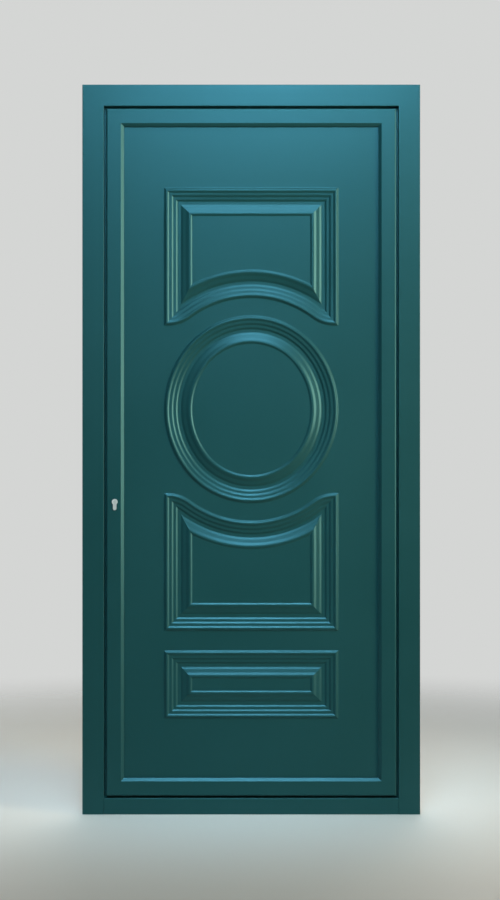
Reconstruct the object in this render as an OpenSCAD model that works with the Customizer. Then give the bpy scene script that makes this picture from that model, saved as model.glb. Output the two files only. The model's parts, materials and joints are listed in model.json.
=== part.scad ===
// Panelled entrance door in its frame: hollow metal profiles, an embossed sheet panel,
// three pin hinges and a narrow-stile lock. Millimetres, front face towards -Y, Z up.

/* [Door] */
// Overall width over the frame
door_w = 1000; // [860:5:1200]
// Overall height from the floor to the top of the frame
door_h = 2160; // [2080:5:2400]
// Wall thickness of the hollow profiles
wall = 2; // [1.6:0.1:3]
// Radius of the seen edges of the profiles
edge_r = 2; // [1:0.1:3]

/* [Frame] */
// Seen width of the jambs and the head
frame_face = 64; // [56:1:80]
// Seen height of the sill
sill_face = 48; // [40:1:60]
// Depth of the frame
frame_d = 50; // [46:1:60]
// Width of the front leg that covers the joint
leg_w = 18; // [16:1:22]
// Depth of the front leg
leg_d = 20; // [16:1:24]
// Radius of the holes for the wall anchors
anchor_r = 5.2; // [4.2:0.1:6.2]
// Height of the lowest wall anchor
anchor_z = 260; // [150:10:400]
// Distance of the highest wall anchor below the top of the frame
anchor_top = 260; // [150:10:400]
// Spacing of the two anchors in a pair
anchor_pitch = 500; // [300:10:560]
// Length of the arms of the frame's corner keys
frame_key_arm = 90; // [70:5:110]
// Length of the brackets in the ends of the sill
bracket_l = 40; // [36:1:60]
// Thickness of the sill brackets
bracket_t = 5; // [3:0.5:6]
// Distance of the bracket screws from the front leg of the jamb
bracket_screw_in = 6; // [5:0.5:9]
// Half distance between the two screws of a bracket
bracket_screw_y = 10; // [8:1:12]

/* [Leaf] */
// Seen gap between the frame and the leaf
gap = 6.5; // [5:0.5:8]
// Room between the frame box and the leaf edge for the fittings
fit_gap = 12; // [11:0.5:14]
// Flat face width of the stiles and rails
leaf_face = 43.5; // [42:0.5:60]
// Radius of the rounded outer edge of the leaf
leaf_r = 5; // [4:0.5:6]
// Width of the bevel that leads down to the panel
bevel_w = 9; // [6:0.5:12]
// Thickness of the bevel's inner edge
nose_t = 2.5; // [2:0.1:3]
// Depth of the leaf
leaf_d = 58; // [56:1:64]
// How far the inner lip covers the frame
lip_over = 8; // [6:0.5:9]
// Thickness of the inner lip
lip_t = 4.5; // [3.5:0.5:6]
// Gap behind the front leg, filled by the stop seal
stop_gap = 3; // [2.5:0.1:4]
// Gap that a seal leaves to the piece it closes on
seal_free = 0.3; // [0.2:0.05:0.5]
// How far a seal stays back from the edges it lies between
seal_in = 0.8; // [0.5:0.1:1.2]
// Length of the arms of the leaf's corner keys
leaf_key_arm = 110; // [90:5:130]
// Thickness of the ribs of the corner keys
key_rib = 5; // [4:0.5:7]
// Room between a corner key and the chamber it fills
key_clear = 0.1; // [0.05:0.05:0.2]

/* [Panel] */
// Depth of the panel face behind the leaf face
panel_recess = 12; // [10:0.5:14]
// Overall thickness of the panel at its edge
panel_t = 24; // [22:1:26]
// Thickness of the pressed outer sheet and the flat inner sheet
sheet_t = 1.5; // [1.2:0.1:2]
// Room around the panel in its rebate
panel_room = 3; // [2:0.5:4]
// Thickness of the seals on both sides of the panel
seal_t = 2.5; // [2:0.1:3]
// Thickness of the glue line behind the pressed sheet
glue_t = 0.1; // [0.05:0.05:0.2]
// Height of the inner beads over the panel
bead_h = 20; // [16:1:24]
// Depth of the inner beads
bead_d = 13.5; // [12:0.5:15]
// Depth of the upright edge of a bead
bead_edge = 4; // [3:0.5:6]
// Width of the sloped face of a bead
bead_slope = 7; // [5:0.5:9]
// Wall of the hollow beads
bead_wall = 1.5; // [1.2:0.1:2]
// Length of the packers around the panel
packer_l = 80; // [60:5:100]
// Distance of the lower and upper packers from the panel's corners
packer_x = 60; // [40:5:100]
// Distance of the side packers from the panel's corners
packer_z = 140; // [100:5:200]
// How far the packers stay back from both faces of the panel
packer_in = 2; // [1:0.5:4]

/* [Moulding] */
// Width of all the moulded fields
field_w = 518; // [480:2:560]
// Height of the oval ring
ring_h = 558; // [530:2:580]
// Radius of the ring's top and bottom arcs
ring_end_r = 249; // [235:1:250]
// Distance between the ring and the arched edges beside it
ring_space = 51; // [44:1:60]
// Distance of the top field below the top of the frame
field_top = 303; // [260:1:340]
// Distance between the middle field and the small lower field
field_gap = 56; // [40:1:80]
// Radius of the small flare at the ends of an arched edge
flare_r = 110; // [98:1:120]
// Straight length between a corner and its flare
flare_in = 13; // [12:0.5:20]
// Height of the small lower field
low_h = 204; // [190:1:230]
// Height of the small lower field above the floor
low_z = 281; // [240:1:300]
// Height of the outer ridge above the sheet
ridge_h = 5; // [3.5:0.1:6]
// Width of the outer side up to the ridge
ridge_in = 7.5; // [6:0.5:8]
// Width from the outer edge to the end of the ridge
ridge_end = 9.8; // [9:0.1:11]
// Terraced steps from the ridge down to the valley
terraces = 3; // [3:1:3]
// Distance from one terrace to the next
terrace_pitch = 12.5; // [11.5:0.1:13]
// Width of the steep part of a terrace
terrace_run = 6.5; // [6:0.1:8]
// Fall of the steep part of a terrace
terrace_fall = 3.3; // [2.6:0.1:3.6]
// Fall of the land between two terraces
land_fall = 0.5; // [0.2:0.1:0.8]
// Where the bevel inside the valley starts
slope_in = 49; // [46:0.5:50]
// Width of the bevel
slope_w = 27; // [24:0.5:28]
// Height of the lip on top of the bevel
lip_h = 4; // [3:0.1:5]
// Where the lip ends
lip_end = 79; // [78:0.5:82]
// Width of the fall from the lip to the inner field
lip_fall = 5.5; // [4:0.5:7]
// Height of the inner field above the sheet
inner_h = 1; // [0.5:0.1:2]

/* [Hinges] */
// Distance of the hinge axis from the outer side of the frame
hinge_u = 27; // [26:0.5:28]
// Distance of the hinge axis from the inner face of the frame
hinge_out = 15; // [14:0.5:18]
// Outer radius of the knuckles
knuckle_r = 9; // [8.5:0.1:9.5]
// Radius of the hinge pins
pin_r = 5; // [4:0.1:5.5]
// Wall of the bushes around the pins
bush_wall = 1.2; // [1:0.1:1.5]
// Running clearance between a pin and its bush
pin_clear = 0.05; // [0.03:0.01:0.08]
// Height of a hinge
hinge_h = 100; // [90:1:130]
// Height of one frame knuckle
frame_knuckle_h = 31; // [26:1:34]
// Gap between knuckles
knuckle_gap = 1; // [0.6:0.1:1.5]
// Thickness of the hinge wings
wing_t = 4; // [3.2:0.1:4.6]
// Height of the lowest hinge's middle
hinge_low_z = 300; // [240:10:360]
// Distance of the top hinge's middle below the top of the frame
hinge_top = 300; // [240:10:400]
// Half distance between the two screws of a wing
wing_screw_z = 36; // [30:1:40]
// Distance of the frame wing and its screws' line from the outer side of the frame
wing_in = 4; // [3:0.5:5]
// Distance from the frame wing's outer edge to its screws
frame_screw_in = 6; // [5.5:0.5:7]
// Distance from the leaf edge to the screws of the leaf wings
leaf_screw_in = 14; // [12:0.5:16]
// Distance from the leaf wing's far edge to its screws
leaf_wing_edge = 14; // [10:0.5:18]
// Gap between the leaf wing and the knuckles of the frame wing
wing_gap = 3.5; // [3:0.1:4]
// Thickness of the web under a frame knuckle
knuckle_web = 12; // [10:0.5:14]
// Thickness of the head of a hinge pin
pin_head = 2; // [1.5:0.1:3]

/* [Fasteners] */
// Radius of the screw shanks
screw_r = 2.1; // [1.8:0.1:2.4]
// Radius of the countersunk screw heads
screw_head_r = 4; // [3.6:0.1:4.5]
// Depth of the countersunk heads
screw_head_h = 2; // [1.8:0.1:2.2]
// Length of the screws under the head
screw_l = 10; // [8:1:14]
// Clearance of the screw shanks in their plates
screw_clear = 0.2; // [0.1:0.05:0.4]
// Clearance of the screws in their threads
thread_clear = 0.05; // [0.03:0.01:0.1]

/* [Lock] */
// Distance of the lock axes from the leaf edge
backset = 38; // [37:0.5:39]
// Height of the cylinder axis above the floor
cyl_z = 925; // [900:5:960]
// Distance from the cylinder axis up to the lever axis
lever_up = 85; // [85:1:92]
// Depth of the lock's middle plane behind the frame's middle
lock_y = 9; // [8.5:0.5:10]
// Thickness of the lock case
case_t = 15; // [14:0.5:16]
// Depth of the lock case from the leaf edge
case_w = 52; // [51:0.5:53]
// Height of the lock case
case_h = 190; // [186:1:200]
// Wall of the lock case
case_wall = 1.5; // [1:0.1:2]
// Width of the faceplate and the strike plate
plate_w = 20; // [19:0.5:21]
// Thickness of the faceplate and the strike plate
plate_t = 2.5; // [2:0.1:3]
// How far the faceplate passes the case at each end
plate_over = 16; // [14:1:20]
// Clearance of the case in its cut-out
case_clear = 0.2; // [0.1:0.05:0.4]
// Distance from the lower end of the case up to the cylinder axis
case_under = 48; // [46:1:52]
// Distance from the lever axis up to the middle of the latch
latch_up = 25; // [24:0.5:27]
// Room around the latch and the dead bolt in the strike plate
strike_room = 2; // [1.5:0.1:2.5]
// Sliding clearance of the latch and the dead bolt
slide_clear = 0.3; // [0.2:0.05:0.4]
// Width of the latch and the dead bolt
bolt_w = 9; // [8:0.5:10]
// Height of the latch
latch_h = 18; // [16:1:20]
// Height of the dead bolt
dead_h = 23; // [20:1:23]
// How far the latch stands out of the faceplate
latch_out = 14; // [12.5:0.5:15]
// Slope of the latch's nose, in degrees
latch_slope = 40; // [35:1:45]
// Depth that the slope takes off the tip of the latch
latch_bite = 5.6; // [5:0.1:6]
// Width of the fork in the latch's tail
latch_fork = 9; // [8.5:0.1:9.5]
// Thickness of the hook at the end of the latch's tail
latch_hook = 3; // [2.5:0.1:3.5]
// How far the dead bolt stays behind the faceplate at rest
dead_back = 0.4; // [0.2:0.1:1]
// Distance from the cylinder axis to the dead bolt's inner end
dead_tail = 8; // [7:0.5:9]
// Width of the notch under the dead bolt
notch_w = 7; // [6.5:0.1:7.5]
// Height of the notch under the dead bolt
notch_h = 4; // [3:0.5:5]
// Length of the dead bolt behind its notch
notch_tail = 5; // [4:0.5:6]

/* [Cylinder] */
// Radius of the cylinder's round head
cyl_r = 8.5; // [8.3:0.1:8.7]
// Width of the cylinder's lower bar
cyl_bar = 10; // [9.5:0.1:10.5]
// Height of the cylinder profile
cyl_h = 33; // [32:0.5:34]
// Radius of the turning plug
plug_r = 6.5; // [6:0.1:7]
// Running clearance around the plug and the follower
turn_clear = 0.05; // [0.03:0.01:0.08]
// Clearance of the cylinder in the leaf and the case
cyl_clear = 0.3; // [0.2:0.05:0.4]
// How far the cylinder stands out of the leaf on both sides
cyl_out = 3; // [2:0.5:4]
// Width of the keyway
keyway = 1.6; // [1.4:0.1:2]
// Depth of the keyway
keyway_d = 27; // [22:1:30]
// Distance of the keyway's ends from the rim of the plug
keyway_in = 1.5; // [1.2:0.1:2]
// Distance from the cylinder axis down to its fixing screw
fix_down = 16; // [15.5:0.1:16.5]
// Radius of the fixing screw
fix_r = 2.4; // [2:0.1:2.6]
// Radius of the fixing screw's head
fix_head_r = 4; // [3.6:0.1:4.5]
// Depth of the fixing screw's head
fix_head_h = 1.6; // [1.4:0.1:1.9]
// Outer radius of the cam
cam_r = 11.8; // [11:0.1:12]
// Width of the cam
cam_w = 9.6; // [9:0.1:10]
// Thickness of the cam's arm
cam_arm = 6; // [5:0.1:6.4]
// Running clearance of the cam
cam_clear = 0.2; // [0.15:0.05:0.3]
// Distance from the cam up to the dead bolt
cam_gap = 1.7; // [1.5:0.1:2]
// Radius of the thumb turn
turn_r = 14; // [12:0.5:16]
// Length of the thumb turn
turn_l = 22; // [18:1:28]
// Thickness of the thumb turn's grip
turn_grip = 10; // [8:0.5:12]
// Thickness of the round foot of the thumb turn
turn_foot = 4.5; // [3:0.5:6]
// Gap between the thumb turn and the cylinder
turn_gap = 1.5; // [1:0.1:2]

/* [Lever] */
// Radius of the lever's round grip
grip_r = 9; // [8:0.5:10]
// Length of the lever from its axis
lever_l = 128; // [110:1:140]
// Distance from the leaf to the middle of the grip
lever_out = 48; // [44:1:56]
// Radius of the bend between neck and grip
lever_bend = 16; // [14:0.5:18]
// Size of the square spindle
spindle = 8; // [7:0.5:8]
// Radius of the round rose under the lever
rose_r = 24; // [22:0.5:26]
// Thickness of the rose
rose_t = 8; // [7:0.5:10]
// Chamfer around the rose
rose_edge = 1.5; // [1:0.1:2]
// Thickness of the rose's floor under its screws
rose_floor = 3; // [2.6:0.1:4]
// Distance from the lever axis to the screws of the rose
rose_screw_z = 17; // [16.5:0.1:17.5]
// Extra radius of the lever's neck inside the rose
neck_over = 1; // [0.5:0.1:1.5]
// Gap between the lever's neck and the leaf
neck_gap = 1; // [0.5:0.1:2]
// How far the thick part of the neck stands out of the rose
neck_out = 3; // [2:0.5:5]
// Chamfer length at the end of the grip
grip_end = 3; // [2:0.5:5]
// Chamfer height at the end of the grip
grip_edge = 2.5; // [1.5:0.5:4]
// How far the spindle reaches into the lever
spindle_in = 30; // [24:1:32]
// Room around the spindle
spindle_clear = 0.05; // [0.03:0.01:0.1]
// Radius of the follower in the lock case
follower_r = 9; // [8.5:0.1:9.5]
// Length of the follower's arm from its axis
arm_l = 22; // [20:0.5:23]
// Width of the follower's arm
arm_w = 4.8; // [4:0.1:5]
// Thickness of the follower's arm
arm_t = 4.6; // [4:0.1:5]
// Angle of the follower's arm at rest, in degrees
arm_ang = 22; // [20:1:24]
// Room between the follower's arm and the fork of the latch
fork_room = 0.5; // [0.3:0.1:0.8]

/* [Hidden] */
facets = 64;
cut = 1;
lap = 0.001;
spare = 8;
front = -frame_d / 2;
back = frame_d / 2;
box_w = frame_face - leg_w;
drop = frame_face - sill_face;
leg_back = front + leg_d;

leaf_u = frame_face + gap;
rear_u = box_w + fit_gap;
plat_u = leaf_u + leaf_face;
nose_u = plat_u + bevel_w;
lip_u = box_w - lip_over;
leaf_in = front + leaf_d;
lip_y = leaf_in - lip_t;
step_y = leg_back + stop_gap;
through_d = 4 * leaf_d;

sheet_y = front + panel_recess;
nose_back = sheet_y - seal_t;
panel_back = sheet_y + panel_t;
bead_y = panel_back + seal_t;
panel_u = plat_u + panel_room;
sheet_w = door_w - 2 * panel_u;
sheet_z0 = panel_u - drop;
sheet_z1 = door_h - panel_u;

field_low = low_z + low_h + field_gap;
field_high = door_h - field_top;
field_reach = (field_high - field_low) / 2;
ring_z = (field_high + field_low) / 2;
ring_a = field_w / 2;
ring_b = ring_h / 2;
ring_cz = ring_b - ring_end_r;
ring_side_r = (ring_end_r * ring_end_r - ring_a * ring_a - ring_cz * ring_cz) / (2 * (ring_end_r - ring_a));
ring_cx = ring_side_r - ring_a;
arch_r = ring_end_r + ring_space;
flare_x = ring_a - flare_in;
flare_ang = asin(flare_x / (arch_r + flare_r));
flare_z = ring_cz + (arch_r + flare_r) * cos(flare_ang);
corner_z = flare_z - flare_r;
valley_h = ridge_h - terraces * terrace_fall - (terraces - 1) * land_fall;
valley_sink = 1;
relief_deep = 30;
relief_top = 20;
relief_over = 20;

// Shares of the width and the height along a soft step
soft_step = [[0, 0], [0.22, 0.12], [0.78, 0.88], [1, 1]];
// Shares of the width and the rise along the bevel, steeper at both ends
ogee = [[0, 0], [0.26, 0.36], [0.64, 0.62], [0.9, 0.95], [1, 1]];

axis_x = door_w / 2 - hinge_u;
axis_y = back + hinge_out;
bush_r = pin_r + pin_clear + bush_wall;
leaf_knuckle_h = hinge_h - 2 * frame_knuckle_h - 2 * knuckle_gap;
hinge_zs = [hinge_low_z, (hinge_low_z + door_h - hinge_top) / 2, door_h - hinge_top];
frame_screw_u = wing_in + frame_screw_in;
leaf_screw_u = rear_u + leaf_screw_in;

edge_x = -door_w / 2 + rear_u;
lock_x = edge_x + backset;
lever_z = cyl_z + lever_up;
latch_z = lever_z + latch_up;
dead_z = cyl_z + cam_r + cam_gap + dead_h / 2;
case_z0 = cyl_z - case_under;
case_z1 = case_z0 + case_h;
face_x = edge_x - plate_t;
jamb_x = -door_w / 2 + box_w;
strike_x = jamb_x + plate_t;
cyl_y0 = front - cyl_out;
cyl_y1 = leaf_in + cyl_out;
fix_z = cyl_z - fix_down;
plate_screw_zs = [case_z0 - plate_over / 2, case_z1 + plate_over / 2];
anchor_zs = [anchor_z, anchor_z + anchor_pitch, door_h - anchor_top - anchor_pitch, door_h - anchor_top];

frame_paint = [0.13, 0.33, 0.34];
panel_paint = [0.12, 0.31, 0.32];
inner_paint = [0.16, 0.36, 0.36];
raw_metal = [0.72, 0.73, 0.74];
steel = [0.6, 0.61, 0.63];
rubber = [0.06, 0.06, 0.065];
foam = [0.85, 0.8, 0.62];
plastic = [0.2, 0.21, 0.22];

// Section of a frame member: a hollow box with a hollow leg that covers the joint
module frame_section(face) {
    b = face - leg_w;
    difference() {
        union() {
            polygon([[0, front + edge_r], [edge_r, front + edge_r], [edge_r, front], [face - edge_r, front],
                [face - edge_r, front + edge_r], [face, front + edge_r], [face, leg_back], [b, leg_back],
                [b, back], [0, back]]);
            for (x = [edge_r, face - edge_r])
                translate([x, front + edge_r]) circle(r = edge_r, $fn = facets);
        }
        translate([wall, front + wall]) square([b - 2 * wall, frame_d - 2 * wall]);
        translate([b, front + wall]) square([leg_w - wall, leg_d - 2 * wall]);
    }
}

// Front chamber of a leaf member, rounded along with the outer edge
module front_chamber() {
    r = leaf_r - wall;
    x0 = leaf_u + wall;
    x1 = plat_u - wall;
    y0 = front + wall;
    polygon([[x0, y0 + r], [x0 + r, y0 + r], [x0 + r, y0], [x1, y0], [x1, step_y], [x0, step_y]]);
    translate([x0 + r, y0 + r]) circle(r = r, $fn = facets);
}

// Section of a leaf member: two chambers, the rear step, the inner lip, a round edge and the front bevel
module leaf_section() {
    difference() {
        union() {
            polygon([[leaf_u, front + leaf_r], [leaf_u + leaf_r, front + leaf_r], [leaf_u + leaf_r, front],
                [plat_u, front], [nose_u, nose_back - nose_t], [nose_u, nose_back], [plat_u, nose_back],
                [plat_u, leaf_in], [lip_u + edge_r, leaf_in], [lip_u + edge_r, leaf_in - edge_r],
                [lip_u, leaf_in - edge_r], [lip_u, lip_y], [rear_u, lip_y], [rear_u, step_y],
                [leaf_u, step_y]]);
            translate([leaf_u + leaf_r, front + leaf_r]) circle(r = leaf_r, $fn = facets);
            translate([lip_u + edge_r, leaf_in - edge_r]) circle(r = edge_r, $fn = facets);
        }
        front_chamber();
        translate([rear_u + wall, step_y + wall])
            square([plat_u - rear_u - 2 * wall, leaf_in - step_y - 2 * wall]);
    }
}

// A prism through the door's depth over an outline given in X and Z
module through(points) {
    rotate([90, 0, 0])
        linear_extrude(through_d, center = true)
            polygon(points);
}

// Bounds between two mitres for an upright leaf member on the left
module stile_room() {
    near = lip_u - spare;
    far = nose_u + spare;
    through([[near - door_w / 2, near - drop], [far - door_w / 2, far - drop],
        [far - door_w / 2, door_h - far], [near - door_w / 2, door_h - near]]);
}

// Bounds between two mitres for the top leaf member
module rail_room() {
    near = lip_u - spare;
    far = nose_u + spare;
    through([[near - door_w / 2, door_h - near], [far - door_w / 2, door_h - far],
        [door_w / 2 - far, door_h - far], [door_w / 2 - near, door_h - near]]);
}

// A rectangular ring around the door between two distances from the frame's outside
module ring(u0, u1, y0, y1) {
    difference() {
        translate([u0 - door_w / 2, y0, u0 - drop])
            cube([door_w - 2 * u0, y1 - y0, door_h - 2 * u0 + drop]);
        translate([u1 - door_w / 2, y0 - cut, u1 - drop])
            cube([door_w - 2 * u1, y1 - y0 + 2 * cut, door_h - 2 * u1 + drop]);
    }
}

// A countersunk screw pointing along +Z with its head face at the origin
module screw(extra = 0) {
    cylinder(h = screw_head_h, r1 = screw_head_r, r2 = screw_r + extra, $fn = facets);
    translate([0, 0, screw_head_h]) cylinder(h = screw_l, r = screw_r + extra, $fn = facets);
}

// A hole that takes the countersunk screw with a little room around its shank
module screw_hole() {
    translate([0, 0, -cut]) cylinder(h = cut + lap, r = screw_head_r, $fn = facets);
    screw();
    cylinder(h = screw_head_h + screw_l, r = screw_r + screw_clear, $fn = facets);
}

// Straight bar of the frame's or leaf's section over the full width, hung from the top
module top_bar() {
    translate([-door_w / 2, 0, door_h])
        rotate([0, 90, 0])
            linear_extrude(door_w)
                children();
}

module frame_jamb() {
    difference() {
        intersection() {
            translate([-door_w / 2, 0, 0])
                linear_extrude(door_h)
                    frame_section(frame_face);
            through([[-door_w / 2 - spare, -spare], [frame_face + spare - door_w / 2, -spare],
                [frame_face + spare - door_w / 2, door_h - frame_face - spare],
                [-door_w / 2 - spare, door_h + spare]]);
        }
        for (z = anchor_zs)
            translate([-door_w / 2 - cut, lock_y, z])
                rotate([0, 90, 0])
                    cylinder(h = box_w + 2 * cut, r = anchor_r, $fn = facets);
    }
}

module frame_jamb_lock() {
    color(frame_paint)
        difference() {
            frame_jamb();
            strike_windows(jamb_x - wall - cut, wall + 2 * cut);
            for (z = plate_screw_zs)
                translate([strike_x, lock_y, z])
                    rotate([0, -90, 0])
                        screw(thread_clear);
        }
}

module frame_jamb_hinge() {
    color(frame_paint)
        difference() {
            mirror([1, 0, 0]) frame_jamb();
            frame_screw_places() screw(thread_clear);
        }
}

module frame_head() {
    color(frame_paint)
        intersection() {
            top_bar() frame_section(frame_face);
            through([[-door_w / 2 - spare, door_h + spare],
                [frame_face + spare - door_w / 2, door_h - frame_face - spare],
                [door_w / 2 - frame_face - spare, door_h - frame_face - spare],
                [door_w / 2 + spare, door_h + spare]]);
        }
}

// The sill stands between the jambs, coped around their front legs
module frame_sill() {
    color(frame_paint)
        difference() {
            translate([door_w / 2 - box_w, 0, 0])
                rotate([0, -90, 0])
                    linear_extrude(door_w - 2 * box_w)
                        frame_section(sill_face);
            for (s = [0, 1])
                mirror([s, 0, 0])
                    translate([door_w / 2 - frame_face, front - cut, -cut])
                        cube([leg_w + cut, leg_d + cut, sill_face + 2 * cut]);
            bracket_screw_places() screw_hole();
        }
}

// Cast angle blocks that hold the two upper mitres of the frame together
module frame_keys() {
    side = box_w - 2 * wall - 2 * key_clear;
    deep = frame_d - 2 * wall - 2 * key_clear;
    color(raw_metal)
        for (s = [0, 1])
            mirror([s, 0, 0])
                translate([-door_w / 2 + wall + key_clear, -deep / 2, door_h - wall - key_clear])
                    corner_key(side, deep, frame_key_arm);
}

// One angle block, its corner at the origin, its arms along +X and -Z, with a pocket in each arm
module corner_key(side, deep, arm) {
    difference() {
        translate([0, 0, -arm]) cube([arm, deep, arm]);
        translate([side, -cut, -arm - cut]) cube([arm, deep + 2 * cut, arm - side + cut]);
        translate([side + key_rib, key_rib, key_rib - side])
            cube([arm - side - 2 * key_rib, deep, side - 2 * key_rib]);
        translate([key_rib, key_rib, key_rib - arm])
            cube([side - 2 * key_rib, deep, arm - side - 2 * key_rib]);
    }
}

// Places of the screws that tie the sill to its two end brackets
module bracket_screw_places() {
    for (s = [-1, 1])
        for (y = [-bracket_screw_y, bracket_screw_y])
            translate([s * (door_w / 2 - frame_face - bracket_screw_in), y, 0])
                children();
}

// Angle brackets inside the sill ends, resting on its floor and standing against the jambs
module sill_brackets() {
    high = sill_face - leg_w - 2 * wall - 2 * key_clear;
    deep = frame_d - 2 * wall - 2 * key_clear;
    back_deep = deep / 2 - leg_back - key_clear;
    color(raw_metal)
        difference() {
            for (s = [0, 1])
                mirror([s, 0, 0])
                    translate([door_w / 2 - box_w - bracket_l, 0, wall])
                        union() {
                            translate([0, -deep / 2, 0])
                                cube([bracket_l - leg_w - key_clear, deep, bracket_t]);
                            translate([0, leg_back + key_clear, 0])
                                cube([bracket_l, back_deep, bracket_t]);
                            translate([bracket_l - bracket_t, leg_back + key_clear, 0])
                                cube([bracket_t, back_deep, high]);
                        }
            bracket_screw_places() screw(thread_clear);
        }
}

module sill_screws() {
    color(steel) bracket_screw_places() screw();
}

module stop_seal() {
    color(rubber)
        ring(rear_u + seal_in, frame_face - seal_in, leg_back, step_y - seal_free);
}

// The two openings that the latch and the dead bolt enter
module strike_windows(x, depth) {
    for (b = [[latch_z, latch_h], [dead_z, dead_h]])
        translate([x, lock_y - bolt_w / 2 - strike_room, b[0] - b[1] / 2 - strike_room])
            cube([depth, bolt_w + 2 * strike_room, b[1] + 2 * strike_room]);
}

module strike_plate() {
    color(steel)
        difference() {
            translate([jamb_x, lock_y - plate_w / 2, case_z0 - plate_over])
                cube([plate_t, plate_w, case_h + 2 * plate_over]);
            strike_windows(jamb_x - cut, plate_t + 2 * cut);
            for (z = plate_screw_zs)
                translate([strike_x, lock_y, z])
                    rotate([0, -90, 0])
                        screw_hole();
        }
}

module strike_screws() {
    color(steel)
        for (z = plate_screw_zs)
            translate([strike_x, lock_y, z])
                rotate([0, -90, 0])
                    screw();
}

module leaf_stile() {
    intersection() {
        translate([-door_w / 2, 0, 0])
            linear_extrude(door_h)
                leaf_section();
        stile_room();
    }
}

module leaf_stile_lock() {
    color(frame_paint)
        difference() {
            leaf_stile();
            translate([edge_x - cut, lock_y - case_t / 2 - case_clear, case_z0 - case_clear])
                cube([wall + 2 * cut, case_t + 2 * case_clear, case_h + 2 * case_clear]);
            translate([lock_x, leaf_in + cut, cyl_z])
                rotate([90, 0, 0])
                    linear_extrude(leaf_d + 2 * cut)
                        euro_outline(cyl_clear);
            translate([lock_x, leaf_in + cut, lever_z])
                rotate([90, 0, 0])
                    cylinder(h = wall + 2 * cut, r = spindle, $fn = facets);
            for (z = plate_screw_zs)
                translate([face_x, lock_y, z])
                    rotate([0, 90, 0])
                        screw(thread_clear);
            rose_screw_places() screw(thread_clear);
        }
}

module leaf_stile_hinge() {
    color(frame_paint)
        difference() {
            mirror([1, 0, 0]) leaf_stile();
            leaf_screw_places() screw(thread_clear);
        }
}

module leaf_rail_top() {
    color(frame_paint)
        intersection() {
            top_bar() leaf_section();
            rail_room();
        }
}

module leaf_rail_bottom() {
    color(frame_paint)
        translate([0, 0, door_h - drop])
            mirror([0, 0, 1])
                intersection() {
                    top_bar() leaf_section();
                    rail_room();
                }
}

// Angle blocks in the four corners of the leaf
module leaf_keys() {
    side = plat_u - rear_u - 2 * wall - 2 * key_clear;
    deep = leaf_in - step_y - 2 * wall - 2 * key_clear;
    at = rear_u + wall + key_clear;
    y0 = step_y + wall + key_clear;
    color(raw_metal)
        for (s = [0, 1])
            mirror([s, 0, 0]) {
                translate([at - door_w / 2, y0, door_h - at])
                    corner_key(side, deep, leaf_key_arm);
                translate([at - door_w / 2, y0, at - drop])
                    mirror([0, 0, 1])
                        corner_key(side, deep, leaf_key_arm);
            }
}

module lip_seal() {
    color(rubber)
        ring(lip_u + seal_in, box_w - seal_in, back + seal_free, lip_y);
}

// Points of a step along shares of its width and height, from a start
function along(shares, d, h, w, rise) = [for (p = shares) [d + p[0] * w, h + p[1] * rise]];

// Points of the outer side of a moulding, from the sheet up to the ridge
function ridge_line() = along(soft_step, 0, 0, ridge_in, ridge_h);

// Points of the terraces, from the ridge down to the valley
function terrace_line() = [for (i = [0:terraces - 1])
    each along(soft_step, ridge_end + i * terrace_pitch, ridge_h - i * (terrace_fall + land_fall),
        terrace_run, -terrace_fall)];

// Points of the bevel out of the valley, up to the lip
function slope_line() =
    along(ogee, slope_in, valley_h - valley_sink, slope_w, lip_h - valley_h + valley_sink);

// Points of the fall from the lip to the inner field
function field_line() = along(soft_step, lip_end, lip_h, lip_fall, inner_h - lip_h);

// Mirrors a line of points so that it runs in from both sides of a width
function both_sides(line, w) = concat(line, [for (i = [len(line) - 1:-1:0]) [w - line[i][0], line[i][1]]]);

// Closes a line down or up to a far level
function closed(line, far) = concat([[line[0][0], far]], line, [[line[len(line) - 1][0], far]]);

// A line that runs on at its last height to a given distance
function run_on(line, d) = concat(line, [[d, line[len(line) - 1][1]]]);

// Turns distances from an edge into radii, outwards from or inwards to a centre
function radial(points, r, way) = [for (p = points) [r + way * p[0], p[1]]];

// Bar across the sheet whose section has the line on its left and right edges
module across_x(line, far, z0, z1) {
    translate([-field_w / 2, z1, 0])
        rotate([90, 0, 0])
            linear_extrude(z1 - z0)
                polygon(closed(both_sides(line, field_w), far));
}

// Bar along the sheet whose section has the line on its lower and upper edges
module across_z(line, far, z0, z1) {
    translate([-door_w / 2, z0, 0])
        rotate([90, 0, 90])
            linear_extrude(door_w)
                polygon(closed(both_sides(line, z1 - z0), far));
}

// Bar along the sheet with the line on its upper edge only
module under_edge(line, far, z1, reach, x0, x1) {
    translate([x0, z1, 0])
        rotate([90, 0, 90])
            linear_extrude(x1 - x0)
                polygon([for (p = closed(run_on(line, reach), far)) [-p[0], p[1]]]);
}

// Part of a turned body around a centre, between two angles
module turned(x, z, from, to, points) {
    translate([x, z, 0])
        rotate([0, 0, from])
            rotate_extrude(angle = to - from, $fn = facets)
                polygon(points);
}

// Keeps the part of a turned body between two lines from a corner
module wedge(corner, a, b) {
    intersection() {
        children();
        translate([0, 0, -relief_deep])
            linear_extrude(relief_deep + 2 * relief_top)
                polygon([corner, a, b]);
    }
}

// The arched lower edge of the top field: two short straights, two flares and the arch between
module arched_edge(line, far) {
    reach = field_reach + 2 * relief_over;
    turned(0, ring_cz, 90 - flare_ang, 90 + flare_ang, radial(closed(run_on(line, reach), far), arch_r, 1));
    for (s = [0, 1])
        mirror([s, 0, 0]) {
            turned(-flare_x, flare_z, -90, -90 + flare_ang,
                radial(closed(run_on(line, flare_r), far), flare_r, -1));
            translate([0, 2 * corner_z, 0])
                mirror([0, 1, 0])
                    under_edge(line, far, corner_z, reach, -door_w / 2, -flare_x);
        }
}

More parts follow.
